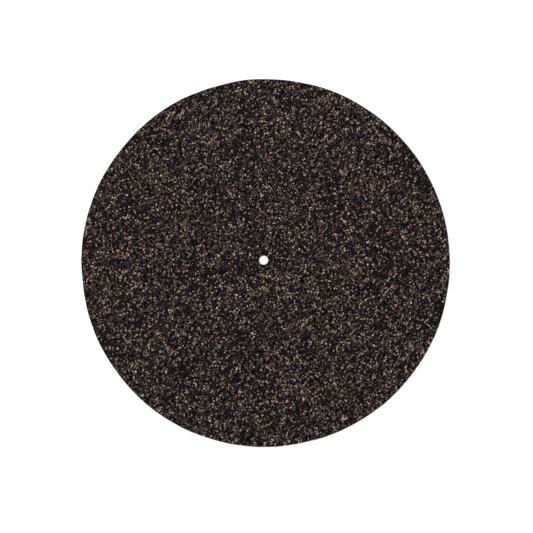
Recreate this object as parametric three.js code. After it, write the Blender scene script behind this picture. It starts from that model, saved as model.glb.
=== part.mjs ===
// A turntable platter mat: one flat disc, die-cut from a sheet of cork granules bound in rubber,
// with a hole punched through its middle for the platter's spindle.
// Units are millimetres and +Z is up. The origin is the middle of the underside, which lies on
// the platter, so the record lies at z = sheetThickness.
import * as THREE from "three";
import { mergeVertices } from "three/addons/utils/BufferGeometryUtils.js";

// Driving dimensions
const matDiameter = 295; // lies inside the raised rim of a 12-inch platter
const sheetThickness = 3; // the sheet that the mat is cut from
const spindleDiameter = 7.2; // the pin that comes up through the mat
const spindleClearance = 0.1; // on the diameter, so the mat drops on and stays centred
const knifeEntryRound = 0.35; // the upper corners, which the cutting rule pulls down as it goes in
const knifeExitRound = 0.15; // the lower corners, left crisp on the cutting board

// How finely the round forms are divided
const segmentsAround = 180;
const stepsPerCorner = 2;

const rimRadius = matDiameter / 2;
const holeRadius = (spindleDiameter + spindleClearance) / 2;

// Appends a quarter-round corner to the section. Angles are in degrees, counted anticlockwise
// from the direction of growing radius.
function addCorner(section, centreRadius, centreHeight, round, startAngle) {
  for (let step = 0; step <= stepsPerCorner; step++) {
    const angle = THREE.MathUtils.degToRad(startAngle + (90 * step) / stepsPerCorner);
    section.push(
      new THREE.Vector2(
        centreRadius + round * Math.cos(angle),
        centreHeight + round * Math.sin(angle),
      ),
    );
  }
}

// The section through one side of the mat, from the hole's wall to the rim: a long flat strip
// with four softened corners. It closes on itself, so the revolved surface is a closed ring.
function matSection() {
  const upperCentre = sheetThickness - knifeEntryRound;
  const lowerCentre = knifeExitRound;
  const section = [];
  addCorner(section, rimRadius - knifeExitRound, lowerCentre, knifeExitRound, -90);
  addCorner(section, rimRadius - knifeEntryRound, upperCentre, knifeEntryRound, 0);
  addCorner(section, holeRadius + knifeEntryRound, upperCentre, knifeEntryRound, 90);
  addCorner(section, holeRadius + knifeExitRound, lowerCentre, knifeExitRound, 180);
  section.push(section[0].clone());
  return section;
}

// Revolves the section about the spindle's axis and stands that axis along +Z.
function matGeometry() {
  const revolved = new THREE.LatheGeometry(matSection(), segmentsAround);
  revolved.rotateX(Math.PI / 2);
  revolved.deleteAttribute("normal");
  revolved.deleteAttribute("uv");
  const closed = mergeVertices(revolved, 1e-4);
  closed.computeVertexNormals();
  return closed;
}

// Near-black rubber full of small tan cork granules: from a step away, a dark warm grey.
const corkRubber = new THREE.MeshStandardMaterial({
  name: "cork_rubber",
  color: new THREE.Color(0x362e2b),
  roughness: 0.85,
  metalness: 0,
});

const mat = new THREE.Mesh(matGeometry(), corkRubber);
mat.name = "platter_mat";

const turntablePlatterMat = new THREE.Group();
turntablePlatterMat.name = "turntable_platter_mat";
turntablePlatterMat.add(mat);

export default turntablePlatterMat;
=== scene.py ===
import math

import bpy
from mathutils import Matrix, Vector


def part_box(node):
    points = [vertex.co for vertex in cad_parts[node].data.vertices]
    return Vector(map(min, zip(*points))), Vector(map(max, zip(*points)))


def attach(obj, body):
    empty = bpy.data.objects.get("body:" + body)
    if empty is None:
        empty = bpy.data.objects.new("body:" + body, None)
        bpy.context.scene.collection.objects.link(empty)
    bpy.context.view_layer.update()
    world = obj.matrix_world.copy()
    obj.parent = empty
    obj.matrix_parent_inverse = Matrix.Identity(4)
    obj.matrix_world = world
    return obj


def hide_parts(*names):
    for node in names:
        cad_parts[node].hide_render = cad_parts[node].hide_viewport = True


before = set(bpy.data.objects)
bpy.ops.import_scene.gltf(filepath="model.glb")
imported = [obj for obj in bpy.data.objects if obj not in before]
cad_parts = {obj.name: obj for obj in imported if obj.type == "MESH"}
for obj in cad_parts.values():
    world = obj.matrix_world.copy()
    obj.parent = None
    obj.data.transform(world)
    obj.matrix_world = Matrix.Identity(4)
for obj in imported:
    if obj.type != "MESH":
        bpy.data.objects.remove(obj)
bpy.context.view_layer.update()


# The camera looks down on the mat from about half a metre, leaning 4 degrees away from the
# spindle's axis. The lean makes the far side of the disc draw a little smaller, which is why the
# hole shows above and to the left of the middle of the outline.
LENS_MM = 45.0
NEAREST_SEEN = 0.01
CAMERA_PLACE = Vector((0.0218, -0.0366, 0.5329))
CAMERA_AIM = Vector((0.0023, -0.0052, 0.0030))


def turned_towards(place, aim, picture_up):
    """The matrix of a camera or lamp at place that faces aim, with picture_up at its top."""
    back = (place - aim).normalized()
    right = picture_up.cross(back).normalized()
    turn = Matrix((right, back.cross(right), back)).transposed()
    return Matrix.Translation(place) @ turn.to_4x4()


camera_data = bpy.data.cameras.new("camera")
camera_data.lens = LENS_MM
camera_data.clip_start = NEAREST_SEEN
camera = bpy.data.objects.new("camera", camera_data)
camera.matrix_world = turned_towards(CAMERA_PLACE, CAMERA_AIM, Vector((0.0, 1.0, 0.0)))
bpy.context.scene.collection.objects.link(camera)
bpy.context.scene.camera = camera
bpy.context.scene.view_settings.view_transform = "Standard"


# The studio is a white sweep under a white surround, with one large soft lamp up and to the left.
# Together they light a level surface at one, so a colour renders about as it is written.
SURROUND_LIGHT = 0.62
LAMP_WATTS = 8.0
LAMP_SIDE = 1.3
LAMP_PLACE = Vector((-0.55, 0.70, 1.15))
SWEEP_SIZE = 8.0
SWEEP_DEPTH = 0.0001  # the sweep's top, this far below the mat's underside
SWEEP_SHADE = 0.60
SWEEP_GLOW = 0.68  # what the camera sees besides the light that the sweep throws back
WHITE = (1.0, 1.0, 1.0, 1.0)


def add_node(tree, kind, inputs=None, **settings):
    """A new node of this kind in tree. Each input follows a socket or holds a plain value."""
    made = tree.nodes.new(kind)
    for name, value in settings.items():
        setattr(made, name, value)
    for name, value in (inputs or {}).items():
        if isinstance(value, bpy.types.NodeSocket):
            tree.links.new(value, made.inputs[name])
        else:
            made.inputs[name].default_value = value
    return made


def maths(tree, operation, *values):
    """The result of one operation on numbers or sockets."""
    return add_node(tree, "ShaderNodeMath", dict(enumerate(values)), operation=operation).outputs[0]


def vector_maths(tree, operation, inputs):
    """The result of one operation on vectors."""
    return add_node(tree, "ShaderNodeVectorMath", inputs, operation=operation).outputs[0]


def length_of(tree, vector):
    """The length of a vector."""
    return add_node(tree, "ShaderNodeVectorMath", {0: vector}, operation="LENGTH").outputs["Value"]


def seen_as_background(tree):
    """A socket that is one where the camera, a reflection or a view through glass looks."""
    path = add_node(tree, "ShaderNodeLightPath").outputs
    either = maths(tree, "MAXIMUM", path["Is Camera Ray"], path["Is Glossy Ray"])
    return maths(tree, "MAXIMUM", either, path["Is Transmission Ray"])


surround = bpy.data.worlds.new("surround")
surround.use_nodes = True
surround_strength = add_node(
    surround.node_tree,
    "ShaderNodeMapRange",
    {"Value": seen_as_background(surround.node_tree), "To Min": SURROUND_LIGHT, "To Max": 1.0},
)
surround_light = surround.node_tree.nodes["Background"]
surround_light.inputs["Color"].default_value = WHITE
surround.node_tree.links.new(surround_strength.outputs[0], surround_light.inputs["Strength"])
bpy.context.scene.world = surround

lamp_data = bpy.data.lights.new("soft_lamp", "AREA")
lamp_data.shape = "SQUARE"
lamp_data.size = LAMP_SIDE
lamp_data.energy = LAMP_WATTS
lamp = bpy.data.objects.new("soft_lamp", lamp_data)
lamp.matrix_world = turned_towards(LAMP_PLACE, Vector((0.0, 0.0, 0.0)), Vector((0.0, 0.0, 1.0)))
bpy.context.scene.collection.objects.link(lamp)

sweep_paper = bpy.data.materials.new("sweep_paper")
sweep_paper.use_nodes = True
sweep_shader = sweep_paper.node_tree.nodes["Principled BSDF"]
sweep_shader.inputs["Base Color"].default_value = (SWEEP_SHADE, SWEEP_SHADE, SWEEP_SHADE, 1.0)
sweep_shader.inputs["Roughness"].default_value = 1.0
sweep_shader.inputs["Specular IOR Level"].default_value = 0.0
sweep_shader.inputs["Emission Color"].default_value = WHITE
sweep_glow = maths(
    sweep_paper.node_tree, "MULTIPLY", seen_as_background(sweep_paper.node_tree), SWEEP_GLOW
)
sweep_paper.node_tree.links.new(sweep_glow, sweep_shader.inputs["Emission Strength"])

sweep_half = SWEEP_SIZE / 2
sweep_mesh = bpy.data.meshes.new("sweep")
sweep_mesh.from_pydata(
    [
        (-sweep_half, -sweep_half, -SWEEP_DEPTH),
        (sweep_half, -sweep_half, -SWEEP_DEPTH),
        (sweep_half, sweep_half, -SWEEP_DEPTH),
        (-sweep_half, sweep_half, -SWEEP_DEPTH),
    ],
    [],
    [(0, 1, 2, 3)],
)
sweep_mesh.materials.append(sweep_paper)
sweep = bpy.data.objects.new("sweep", sweep_mesh)
bpy.context.scene.collection.objects.link(sweep)


# The mat is one sheet of crushed cork bound in black rubber, pressed flat and cut to a disc with
# a punched spindle hole. The knife pulls the upper corners down a little, wanders inwards by up
# to two thirds of a millimetre, and slices granules through or plucks them out of both cut walls.
mat_low, mat_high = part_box("platter_mat")
RIM_RADIUS = (mat_high[0] - mat_low[0]) / 2
THICKNESS = mat_high[2] - mat_low[2]
HOLE_RADIUS = 0.00365
KNIFE_ENTRY_ROUND = 0.00035
KNIFE_EXIT_ROUND = 0.00015
CORNER_STEPS = 3
WALL_STEPS = 8
RIM_POINTS = 3072
FACE_POINTS = 192  # points round the flat faces and the hole: the rim's, halved four times
FIRST_FACE_GAP = 0.0006
FACE_QUAD_LENGTH = 1.6  # how long a face's quads are along the radius, against their width
LEAST_LAST_GAP = 0.5  # the narrowest gap left before the inner edge, against a whole one


def corner_rings(centre_radius, centre_height, round_size, start_angle, points):
    """Rings round one softened corner of the section, as (radius, height, points)."""
    rings = []
    for step in range(CORNER_STEPS + 1):
        angle = math.radians(start_angle + 90 * step / CORNER_STEPS)
        radius = centre_radius + round_size * math.cos(angle)
        height = centre_height + round_size * math.sin(angle)
        rings.append((radius, height, points))
    return rings


def wall_rings(radius, start_height, end_height, points):
    """Rings along a cut wall, between its two corners."""
    rise = (end_height - start_height) / WALL_STEPS
    return [(radius, start_height + rise * step, points) for step in range(1, WALL_STEPS)]


def face_rings(outer_radius, inner_radius, height):
    """Rings across a flat face from the rim in, with fewer points from ring to ring until the
    quads suit a flat face."""
    rings = []
    radius, points, gap = outer_radius, RIM_POINTS, FIRST_FACE_GAP
    while True:
        if points > FACE_POINTS:
            radius -= gap
            points //= 2
            gap *= 2
        else:
            gap = FACE_QUAD_LENGTH * 2 * math.pi * radius / points
            radius -= gap
        if radius < inner_radius + LEAST_LAST_GAP * gap:
            return rings
        rings.append((radius, height, points))


upper_centre = THICKNESS - KNIFE_ENTRY_ROUND
lower_centre = KNIFE_EXIT_ROUND
upper_rim = RIM_RADIUS - KNIFE_ENTRY_ROUND
lower_rim = RIM_RADIUS - KNIFE_EXIT_ROUND
upper_hole = HOLE_RADIUS + KNIFE_ENTRY_ROUND
lower_hole = HOLE_RADIUS + KNIFE_EXIT_ROUND
rim_rings = (
    corner_rings(lower_rim, lower_centre, KNIFE_EXIT_ROUND, -90, RIM_POINTS)
    + wall_rings(RIM_RADIUS, lower_centre, upper_centre, RIM_POINTS)
    + corner_rings(upper_rim, upper_centre, KNIFE_ENTRY_ROUND, 0, RIM_POINTS)
)
hole_rings = (
    corner_rings(upper_hole, upper_centre, KNIFE_ENTRY_ROUND, 90, FACE_POINTS)
    + wall_rings(HOLE_RADIUS, upper_centre, lower_centre, FACE_POINTS)
    + corner_rings(lower_hole, lower_centre, KNIFE_EXIT_ROUND, 180, FACE_POINTS)
)
top_rings = face_rings(upper_rim, upper_hole, THICKNESS)
underside_rings = face_rings(lower_rim, lower_hole, 0.0)[::-1]

# The flat map holds the two faces as discs in opposite corners, with the rim's wall in short
# strips and the hole's wall as one strip in the corners left over.
TOP_DISC = (0.335, 0.335, 0.33)  # across, up, radius
UNDERSIDE_DISC = (0.745, 0.745, 0.25)
RIM_STRIPS = 8
RIM_STRIP = (0.01, 0.70, 0.45, 0.03)  # across and up of the lowest strip, its length, the pitch
HOLE_STRIP = (0.72, 0.10, 0.20)  # across, up, length
ROUNDING_ROOM = 0.001  # keeps the turn that starts a strip from rounding into the strip before


def flat_place(stretch, x, y, along, turn, first_turn):
    """Where a point of the mat lies on the flat map. A turn runs from 0 to 1 round the disc, and
    first_turn is the one where the point's face starts."""
    if stretch == "top":
        across, up, size = TOP_DISC
        return across + size * x / RIM_RADIUS, up + size * y / RIM_RADIUS
    if stretch == "underside":
        across, up, size = UNDERSIDE_DISC
        return across - size * x / RIM_RADIUS, up + size * y / RIM_RADIUS
    if stretch == "hole":
        across, up, length = HOLE_STRIP
        return across + length * turn, up + length * along / (2 * math.pi * HOLE_RADIUS)
    across, up, length, pitch = RIM_STRIP
    strip = int(first_turn * RIM_STRIPS + ROUNDING_ROOM)
    scale = length * RIM_STRIPS / (2 * math.pi * RIM_RADIUS)
    return across + length * (turn * RIM_STRIPS - strip), up + pitch * strip + scale * along


def mat_mesh():
    """The closed surface through all the rings, with its flat map. Neighbouring rings have as
    many points as each other, or one has twice as many."""
    rings = rim_rings + top_rings + hole_rings + underside_rings
    stretches = ["rim"] * (len(rim_rings) - 1) + ["top"] * (len(top_rings) + 1)
    stretches += ["hole"] * (len(hole_rings) - 1) + ["underside"] * (len(underside_rings) + 1)

    # Starts holds each ring's first vertex, and alongs how far along its wall the ring lies.
    vertices, starts, alongs = [], [], []
    for number, (radius, height, points) in enumerate(rings):
        starts.append(len(vertices))
        before = rings[number - 1]
        step = math.hypot(radius - before[0], height - before[1])
        alongs.append(alongs[-1] + step if number and stretches[number - 1] in ("rim", "hole") else 0)
        for point in range(points):
            angle = 2 * math.pi * point / points
            vertices.append((radius * math.cos(angle), radius * math.sin(angle), height))
    faces, map_places = [], []

    def add_face(stretch, corners):
        """Adds one face through (ring, point) corners, where a point may run one past the last."""
        turns = [point / rings[ring][2] for ring, point in corners]
        face = [starts[ring] + point % rings[ring][2] for ring, point in corners]
        faces.append(face)
        for (ring, _), turn, vertex in zip(corners, turns, face):
            x, y, _ = vertices[vertex]
            map_places.extend(flat_place(stretch, x, y, alongs[ring], turn, min(turns)))

    for ring, stretch in enumerate(stretches):
        following = (ring + 1) % len(rings)
        here, there = rings[ring][2], rings[following][2]
        for point in range(min(here, there)):
            after = point + 1
            if here == there:
                around = [(ring, point), (ring, after), (following, after), (following, point)]
                add_face(stretch, around)
                continue
            # Three triangles join two steps of the finer ring to one step of the coarser.
            fine, coarse = (ring, following) if here > there else (following, ring)
            fan = [
                [(fine, 2 * point), (fine, 2 * point + 1), (coarse, point)],
                [(fine, 2 * point + 1), (coarse, after), (coarse, point)],
                [(fine, 2 * point + 1), (fine, 2 * point + 2), (coarse, after)],
            ]
            for corners in fan:
                add_face(stretch, corners if here > there else corners[::-1])
    mesh = bpy.data.meshes.new("cork_rubber_mat")
    mesh.from_pydata(vertices, [], faces)
    mesh.uv_layers.new(name="OFBake").data.foreach_set("uv", map_places)
    mesh.shade_smooth()
    return mesh


# One layer of granules takes the colour and height of what lies under it. It fills a share of the
# cells of a warped cell pattern, each with a random tone and hue, inside a thin dark rim: partly
# a film of rubber, partly painted shade in the crevice round the granule.
# The dark rim's colour: rubber film, and painted shade in the crevice round each granule.
FILM_AND_CREVICE_SHADE = (0.0040, 0.0028, 0.0030, 1.0)
FILM_AND_SHADE_COVER = 0.85
NOISE_MIDDLE = (0.5, 0.5, 0.5)
BEND_WAVES = 1.1  # how many waves bend a granule's outline, and how far, in granule sizes
BEND_DEPTH = 0.8
SKIN_STARTS = 0.4  # where a granule starts to show through its skin, the dark rim of film and painted crevice shade, as a share of the skin
TONE_WEIGHT = 0.65  # how much of a granule's hue follows its tone, while the rest is random
NUMBER_INPUTS = ["Size", "Share", "Crowding", "Skin", "Dimmest", "Palest", "Lowest", "Highest"]


def granule_group():
    """The shader nodes of one layer of granules. Places and sizes are in millimetres."""
    group = bpy.data.node_groups.new("cork_granules", "ShaderNodeTree")
    socket = group.interface.new_socket
    for name in ("Place", "Stretch", "Turn", "Shift"):
        socket(name, in_out="INPUT", socket_type="NodeSocketVector")
    for name in (*NUMBER_INPUTS, "Height Below"):
        socket(name, in_out="INPUT", socket_type="NodeSocketFloat")
    for name in ("Dim Hue", "Pale Hue", "Colour Below"):
        socket(name, in_out="INPUT", socket_type="NodeSocketColor")
    socket("Colour", in_out="OUTPUT", socket_type="NodeSocketColor")
    socket("Height", in_out="OUTPUT", socket_type="NodeSocketFloat")
    given = add_node(group, "NodeGroupInput").outputs

    # The warped cells, each with a pick, a tone and a hue of its own.
    turned = add_node(
        group,
        "ShaderNodeVectorRotate",
        {"Vector": given["Place"], "Rotation": given["Turn"]},
        rotation_type="EULER_XYZ",
    ).outputs[0]
    stretched = vector_maths(group, "DIVIDE", {0: turned, 1: given["Stretch"]})
    per_size = maths(group, "DIVIDE", 1.0, given["Size"])
    in_cells = vector_maths(group, "SCALE", {0: stretched, "Scale": per_size})
    shifted = vector_maths(group, "ADD", {0: in_cells, 1: given["Shift"]})
    waves = {"Vector": shifted, "Scale": BEND_WAVES, "Detail": 1.0}
    wavy = add_node(group, "ShaderNodeTexNoise", waves).outputs["Color"]
    bend = vector_maths(group, "SUBTRACT", {0: wavy, 1: NOISE_MIDDLE})
    bend = vector_maths(group, "SCALE", {0: bend, "Scale": BEND_DEPTH})
    bent = vector_maths(group, "ADD", {0: shifted, 1: bend})
    cell = add_node(group, "ShaderNodeTexVoronoi", {"Vector": bent, "Scale": 1.0}, feature="F1")
    edge = add_node(
        group, "ShaderNodeTexVoronoi", {"Vector": bent, "Scale": 1.0}, feature="DISTANCE_TO_EDGE"
    )
    pick, tone, hue = add_node(group, "ShaderNodeSeparateColor", {0: cell.outputs["Color"]}).outputs

    # Which cells hold a granule, and how it comes through its skin: a dark rim of rubber film and
    # painted crevice shade.
    share = maths(group, "MULTIPLY", given["Share"], given["Crowding"])
    present = maths(group, "LESS_THAN", pick, share)
    body = add_node(
        group,
        "ShaderNodeMapRange",
        {
            "Value": edge.outputs["Distance"],
            "From Min": maths(group, "MULTIPLY", given["Skin"], SKIN_STARTS),
            "From Max": given["Skin"],
        },
        interpolation_type="SMOOTHSTEP",
    ).outputs[0]
    cover = maths(group, "MULTIPLY", present, body)

    # The granule's colour and crown, laid over what lies below.
    own_hue = maths(group, "MULTIPLY", hue, 1 - TONE_WEIGHT)
    paleness = maths(group, "MULTIPLY_ADD", tone, TONE_WEIGHT, own_hue)
    tint = add_node(
        group,
        "ShaderNodeMix",
        {"Factor": paleness, "A": given["Dim Hue"], "B": given["Pale Hue"]},
        data_type="RGBA",
    ).outputs["Result"]
    span = maths(group, "DIVIDE", given["Palest"], given["Dimmest"])
    bright = maths(group, "MULTIPLY", given["Dimmest"], maths(group, "POWER", span, tone))
    cork = vector_maths(group, "SCALE", {0: tint, "Scale": bright})
    # A dark rim under each granule: rubber film, and painted shade in the crevice round it.
    film_and_crevice_shade = add_node(
        group,
        "ShaderNodeMix",
        {
            "Factor": maths(group, "MULTIPLY", present, FILM_AND_SHADE_COVER),
            "A": given["Colour Below"],
            "B": FILM_AND_CREVICE_SHADE,
        },
        data_type="RGBA",
    ).outputs["Result"]
    colour = add_node(
        group, "ShaderNodeMix", {"Factor": cover, "A": film_and_crevice_shade, "B": cork}, data_type="RGBA"
    ).outputs["Result"]
    crown = add_node(
        group,
        "ShaderNodeMapRange",
        {"Value": tone, "To Min": given["Lowest"], "To Max": given["Highest"]},
    ).outputs[0]
    height = add_node(
        group, "ShaderNodeMix", {"Factor": cover, "A": given["Height Below"], "B": crown}
    ).outputs["Result"]
    add_node(group, "NodeGroupOutput", {"Colour": colour, "Height": height})
    return group


# The layers run from the largest granules to the smallest, with sizes in millimetres and turns in
# radians. The last layer is the pits that plucked crumbs leave, sunk by the bump and painted near
# black for the shade down inside them.
GRANULE_LAYERS = [
    {
        "Size": 2.4, "Share": 0.085, "Skin": 0.18, "Dimmest": 0.019, "Palest": 0.38,
        "Stretch": (1.5, 0.8, 1.0), "Turn": (0.3, 0.2, 0.4),
        "Dim Hue": (1.0, 0.82, 0.76, 1.0), "Pale Hue": (1.0, 0.56, 0.325, 1.0),
    },
    {
        "Size": 2.0, "Share": 0.215, "Skin": 0.18, "Dimmest": 0.022, "Palest": 0.67,
        "Stretch": (0.7, 1.4, 1.0), "Turn": (0.1, 0.5, 1.3),
        "Dim Hue": (1.0, 0.84, 0.80, 1.0), "Pale Hue": (1.0, 0.585, 0.355, 1.0),
    },
    {
        "Size": 1.7, "Share": 0.375, "Skin": 0.165, "Dimmest": 0.022, "Palest": 0.78,
        "Stretch": (1.3, 0.8, 1.0), "Turn": (0.6, 0.1, 2.2),
        "Dim Hue": (1.0, 0.87, 0.85, 1.0), "Pale Hue": (1.0, 0.615, 0.385, 1.0),
    },
    {
        "Size": 1.4, "Share": 0.42, "Skin": 0.165, "Dimmest": 0.022, "Palest": 0.79,
        "Stretch": (1.0, 1.0, 1.0), "Turn": (0.2, 0.7, 0.9),
        "Dim Hue": (1.0, 0.89, 0.88, 1.0), "Pale Hue": (1.0, 0.65, 0.425, 1.0),
    },
    # The pits, painted near black: painted shade inside them, darker than any rubber.
    {
        "Size": 1.0, "Share": 0.24, "Skin": 0.12, "Dimmest": 0.0003, "Palest": 0.0020,
        "Stretch": (1.2, 0.9, 1.0), "Turn": (0.9, 0.4, 1.7),
        "Dim Hue": (1.0, 0.80, 0.90, 1.0), "Pale Hue": (1.0, 0.80, 0.90, 1.0),
        "Lowest": -0.6, "Highest": -0.2,
    },
]
MM_IN_A_METRE = 1000.0
LAYER_SHIFT = Vector((17.3, 5.9, 11.7))  # gives each layer cells of its own
GRIT_HEIGHT = 0.00012
LOWEST_CROWN = 0.2  # heights of a granule's crown, in grit heights
HIGHEST_CROWN = 1.2
LEAST_ROUGH, MOST_ROUGH = 0.72, 0.95  # down in the rubber, and on the crowns
GLOSS = 0.02

# Widths of the patches, in millimetres, and the noise levels between which their shade changes.
RUBBER_PATCH = 1.1
THICKET = 3.2
DRIFT = 40.0
CAST_PATCH = 2.6
SPECKLE = 0.3
PATCH_LEVELS = (0.30, 0.70)
SPECKLE_LEVELS = (0.35, 0.65)

# Crowding multiplies the share of every layer. It follows the thickets' noise with the drift's
# noise added to it at this weight, from the level of a gap to that of a thicket.
DRIFT_WEIGHT = 0.70
GAP_NOISE, GAP_CROWDING = 0.70, 0.45
THICKET_NOISE, THICKET_CROWDING = 1.00, 1.55

# Colours of the bare rubber, then the casts that tint rubber and cork alike.
RUBBER_BLACK = (0.0022, 0.0018, 0.0024, 1.0)
RUBBER_GREY = (0.0208, 0.0196, 0.0256, 1.0)
COOL_CAST = (0.88, 1.00, 1.09, 1.0)
WARM_CAST = (1.12, 1.00, 0.90, 1.0)
PINK_CAST = (1.05, 0.95, 1.04, 1.0)
GREEN_CAST = (0.95, 1.05, 0.96, 1.0)
CAST_LIFT = 0.018
SPECKLE_DEPTH = 0.20
# Painted shade along the four rounded cut corners: its width, how far in it stays darkest, and how
# dark it gets.
CORNER_SHADE_WIDTH = 0.0013
CORNER_SHADE_DARKEST = 0.4  # how far in from the corner the painted shade stays at its darkest, in its widths
CORNER_SHADE_LEVEL = 0.4

cork_rubber = bpy.data.materials.new("cork_rubber")
cork_rubber.use_nodes = True
cork_tree = cork_rubber.node_tree
spot = add_node(cork_tree, "ShaderNodeTexCoord").outputs["Object"]
millimetres = vector_maths(cork_tree, "SCALE", {0: spot, "Scale": MM_IN_A_METRE})


def mottle(patch):
    """Cloudy noise over the sheet, with patches about this many millimetres wide."""
    wanted = {"Vector": millimetres, "Scale": 1 / patch, "Detail": 1.0}
    return add_node(cork_tree, "ShaderNodeTexNoise", wanted).outputs["Fac"]


def shaded(patches, *colours):
    """The first colour where the patches' noise is low, running to the second where it is high."""
    ramp = add_node(cork_tree, "ShaderNodeValToRGB", {"Fac": patches})
    for element, noise_level, colour in zip(ramp.color_ramp.elements, PATCH_LEVELS, colours):
        element.position = noise_level
        element.color = colour
    return ramp.outputs["Color"]


def ranged(value, from_min, from_max, to_min, to_max):
    """The value moved from one range of numbers to another, and kept inside it."""
    limits = {"From Min": from_min, "From Max": from_max, "To Min": to_min, "To Max": to_max}
    return add_node(cork_tree, "ShaderNodeMapRange", {"Value": value, **limits}).outputs[0]


# Granules crowd in thickets, with gaps between, and their number drifts slowly over the sheet.
rubber_mottle = mottle(RUBBER_PATCH)
thickets = mottle(THICKET)
density = maths(cork_tree, "MULTIPLY_ADD", mottle(DRIFT), DRIFT_WEIGHT, thickets)
crowding = ranged(density, GAP_NOISE, THICKET_NOISE, GAP_CROWDING, THICKET_CROWDING)
colour = shaded(rubber_mottle, RUBBER_BLACK, RUBBER_GREY)
height = rubber_mottle
granules = granule_group()
for number, layer in enumerate(GRANULE_LAYERS):
    scattered = {
        "Place": millimetres,
        "Shift": number * LAYER_SHIFT,
        "Crowding": crowding,
        "Lowest": LOWEST_CROWN,
        "Highest": HIGHEST_CROWN,
        "Colour Below": colour,
        "Height Below": height,
        **layer,
    }
    colour, height = add_node(cork_tree, "ShaderNodeGroup", scattered, node_tree=granules).outputs

# The cast is warm in the thickets and cool in the gaps, with a little pink and green besides. The
# lift lets it reach the blacks.
lifted = vector_maths(cork_tree, "ADD", {0: colour, 1: (CAST_LIFT, CAST_LIFT, CAST_LIFT)})
cool_to_warm = shaded(thickets, COOL_CAST, WARM_CAST)
pink_to_green = shaded(mottle(CAST_PATCH), PINK_CAST, GREEN_CAST)
cast = vector_maths(cork_tree, "MULTIPLY", {0: cool_to_warm, 1: pink_to_green})
toned = vector_maths(
    cork_tree, "MULTIPLY_ADD", {0: lifted, 1: cast, 2: (-CAST_LIFT, -CAST_LIFT, -CAST_LIFT)}
)

# Painted shade darkens the sheet along its four rounded cut corners.
across, along, up = add_node(cork_tree, "ShaderNodeSeparateXYZ", {0: spot}).outputs
level = add_node(cork_tree, "ShaderNodeCombineXYZ", {0: across, 1: along}).outputs[0]
radius = length_of(cork_tree, level)
from_rim = maths(cork_tree, "SUBTRACT", RIM_RADIUS, radius)
from_hole = maths(cork_tree, "SUBTRACT", radius, HOLE_RADIUS)
from_cut = maths(cork_tree, "MINIMUM", from_rim, from_hole)
from_face = maths(cork_tree, "MINIMUM", up, maths(cork_tree, "SUBTRACT", THICKNESS, up))
from_corner = maths(cork_tree, "MAXIMUM", from_cut, from_face)
painted_corner_shade = ranged(from_corner, CORNER_SHADE_DARKEST * CORNER_SHADE_WIDTH, CORNER_SHADE_WIDTH, CORNER_SHADE_LEVEL, 1.0)

# Cork's cells and dust on the rubber speckle both finely.
speckle = ranged(mottle(SPECKLE), *SPECKLE_LEVELS, 1 - SPECKLE_DEPTH, 1 + SPECKLE_DEPTH)
shade = maths(cork_tree, "MULTIPLY", painted_corner_shade, speckle)
toned = vector_maths(cork_tree, "SCALE", {0: toned, "Scale": shade})
grit = add_node(cork_tree, "ShaderNodeBump", {"Height": height, "Distance": GRIT_HEIGHT})
roughness = ranged(height, 0.0, 1.0, LEAST_ROUGH, MOST_ROUGH)
cork_shader = cork_tree.nodes["Principled BSDF"]
cork_shader.inputs["Specular IOR Level"].default_value = GLOSS
cork_tree.links.new(toned, cork_shader.inputs["Base Color"])
cork_tree.links.new(roughness, cork_shader.inputs["Roughness"])
cork_tree.links.new(grit.outputs[0], cork_shader.inputs["Normal"])


# What the geometry nodes press into the sheet. Lengths and depths are in metres.
CUT_SIZES = {
    "Rim Radius": RIM_RADIUS,
    "Hole Radius": HOLE_RADIUS,
    "Thickness": THICKNESS,
    "Cut Reach": 0.012,
    "Wander Length": 0.05,
    "Rim Wander": 0.00068,
    "Hole Wander": 0.00003,
    "Pluck Size": 0.0015,
    "Pluck Share": 0.25,
    "Pluck Depth": 0.00045,
    "Hole Pluck": 0.35,
    "Skin Grain": 0.004,
    "Skin Depth": 0.00005,
    "Seed": 5.0,
}
WANDER_STARTS, WANDER_FULL = 0.39, 0.68  # noise levels
WANDER_DETAIL = 2.0
GRAIN_DETAIL = 1.0
BOWL_REACH = 0.75  # how far a pluck's bowl reaches from its middle, in pluck sizes
WALL_POWER = 20.0  # how fast plucks fade away from a wall
CORNER_POWER = 3.0  # how fast they grow towards a corner
LEAST_PLUCK = 0.4  # the smallest pluck, as a share of the deepest


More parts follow.
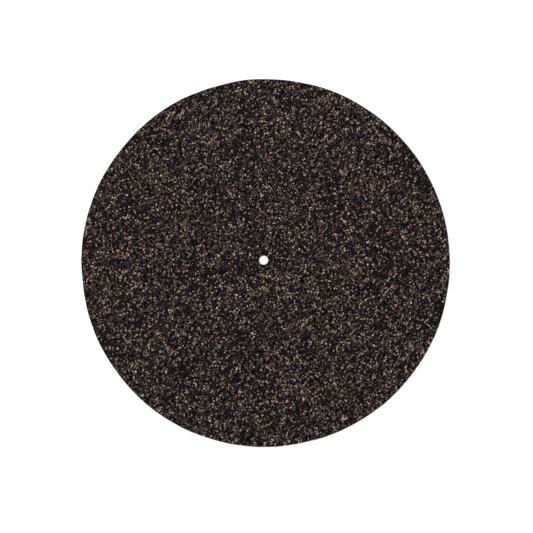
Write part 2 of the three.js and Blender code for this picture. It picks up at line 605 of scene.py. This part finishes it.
def cut_tree():
    """Geometry nodes that press the knife's wander, the plucked granules and the soft unevenness
    of the skin into the sheet, never out of it."""
    tree = bpy.data.node_groups.new("die_cut", "GeometryNodeTree")
    socket = tree.interface.new_socket
    socket("Geometry", in_out="INPUT", socket_type="NodeSocketGeometry")
    for name in CUT_SIZES:
        socket(name, in_out="INPUT", socket_type="NodeSocketFloat")
    socket("Material", in_out="INPUT", socket_type="NodeSocketMaterial")
    socket("Geometry", in_out="OUTPUT", socket_type="NodeSocketGeometry")
    given = add_node(tree, "NodeGroupInput").outputs

    place = add_node(tree, "GeometryNodeInputPosition").outputs[0]
    normal = add_node(tree, "GeometryNodeInputNormal").outputs[0]
    level = vector_maths(tree, "MULTIPLY", {0: place, 1: (1.0, 1.0, 0.0)})
    radius = length_of(tree, level)
    outward = vector_maths(tree, "NORMALIZE", {0: level})

    def nearness(gap):
        """One on the cut wall, falling to zero at the cut's reach."""
        limits = {"Value": gap, "From Max": given["Cut Reach"], "To Min": 1.0, "To Max": 0.0}
        return add_node(tree, "ShaderNodeMapRange", limits).outputs[0]

    def noise(length, detail):
        """Smooth noise with waves of this length, from 0 to 1."""
        per_length = maths(tree, "DIVIDE", 1.0, length)
        waves = {"Vector": place, "W": given["Seed"], "Scale": per_length, "Detail": detail}
        return add_node(tree, "ShaderNodeTexNoise", waves, noise_dimensions="4D").outputs[0]

    def from_least(share):
        """A share of the pluck's depth, raised so that it starts at the smallest pluck."""
        return maths(tree, "MULTIPLY_ADD", share, 1 - LEAST_PLUCK, LEAST_PLUCK)

    # The wander presses both cut walls into the sheet, the rim's inwards and the hole's outwards.
    near_rim = nearness(maths(tree, "SUBTRACT", given["Rim Radius"], radius))
    near_hole = nearness(maths(tree, "SUBTRACT", radius, given["Hole Radius"]))
    swing = add_node(
        tree,
        "ShaderNodeMapRange",
        {
            "Value": noise(given["Wander Length"], WANDER_DETAIL),
            "From Min": WANDER_STARTS,
            "From Max": WANDER_FULL,
        },
    ).outputs[0]
    rim_wander = maths(tree, "MULTIPLY", near_rim, given["Rim Wander"])
    hole_wander = maths(tree, "MULTIPLY", near_hole, given["Hole Wander"])
    into_sheet = maths(tree, "MULTIPLY", maths(tree, "SUBTRACT", hole_wander, rim_wander), swing)
    wander = vector_maths(tree, "SCALE", {0: outward, "Scale": into_sheet})

    # Plucked granules leave bowls in the cut walls, deepest at the corners.
    pluck_places = vector_maths(
        tree, "SCALE", {0: place, "Scale": maths(tree, "DIVIDE", 1.0, given["Pluck Size"])}
    )
    cell = add_node(
        tree,
        "ShaderNodeTexVoronoi",
        {"Vector": pluck_places, "W": given["Seed"], "Scale": 1.0},
        voronoi_dimensions="4D",
    )
    parts = add_node(tree, "FunctionNodeSeparateColor", {0: cell.outputs["Color"]}).outputs
    plucked = maths(tree, "LESS_THAN", parts["Red"], given["Pluck Share"])
    bowl = add_node(
        tree,
        "ShaderNodeMapRange",
        {"Value": cell.outputs["Distance"], "From Max": BOWL_REACH, "To Min": 1.0, "To Max": 0.0},
        interpolation_type="SMOOTHSTEP",
    ).outputs[0]
    height = add_node(tree, "ShaderNodeSeparateXYZ", {0: place}).outputs["Z"]
    up = maths(tree, "DIVIDE", height, given["Thickness"])
    from_middle = maths(tree, "ABSOLUTE", maths(tree, "MULTIPLY_ADD", up, 2.0, -1.0))
    at_corner = maths(tree, "POWER", from_middle, CORNER_POWER)
    on_rim = maths(tree, "POWER", near_rim, WALL_POWER)
    on_hole = maths(tree, "POWER", near_hole, WALL_POWER)
    on_hole = maths(tree, "MULTIPLY", on_hole, given["Hole Pluck"])
    on_wall = maths(tree, "MAXIMUM", on_rim, on_hole)
    depth = given["Pluck Depth"]
    for share in (from_least(at_corner), plucked, bowl, on_wall, from_least(parts["Green"])):
        depth = maths(tree, "MULTIPLY", depth, share)

    # The skin is a little uneven all over.
    grain = noise(given["Skin Grain"], GRAIN_DETAIL)
    uneven = maths(tree, "MULTIPLY", grain, given["Skin Depth"])
    sunk = maths(tree, "MULTIPLY", maths(tree, "ADD", depth, uneven), -1.0)
    sinking = vector_maths(tree, "SCALE", {0: normal, "Scale": sunk})

    pressed = add_node(
        tree,
        "GeometryNodeSetPosition",
        {
            "Geometry": given["Geometry"],
            "Offset": vector_maths(tree, "ADD", {0: wander, 1: sinking}),
        },
    )
    real = add_node(tree, "GeometryNodeRealizeInstances", {"Geometry": pressed.outputs[0]})
    covered = add_node(
        tree,
        "GeometryNodeSetMaterial",
        {"Geometry": real.outputs[0], "Material": given["Material"]},
    )
    add_node(tree, "NodeGroupOutput", {"Geometry": covered.outputs[0]})
    return tree


mat = bpy.data.objects.new("cork_rubber_mat", mat_mesh())
bpy.context.scene.collection.objects.link(mat)
cut = mat.modifiers.new("die_cut", "NODES")
cut.node_group = cut_tree()
for item in cut.node_group.interface.items_tree:
    if item.in_out == "INPUT" and item.name in CUT_SIZES:
        cut[item.identifier] = CUT_SIZES[item.name]
    if item.in_out == "INPUT" and item.name == "Material":
        cut[item.identifier] = cork_rubber
whole_sheet = mat.data
mat.data = bpy.data.meshes.new_from_object(mat.evaluated_get(bpy.context.evaluated_depsgraph_get()))
mat.modifiers.clear()
bpy.data.meshes.remove(whole_sheet)

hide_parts("platter_mat")
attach(mat, "root")
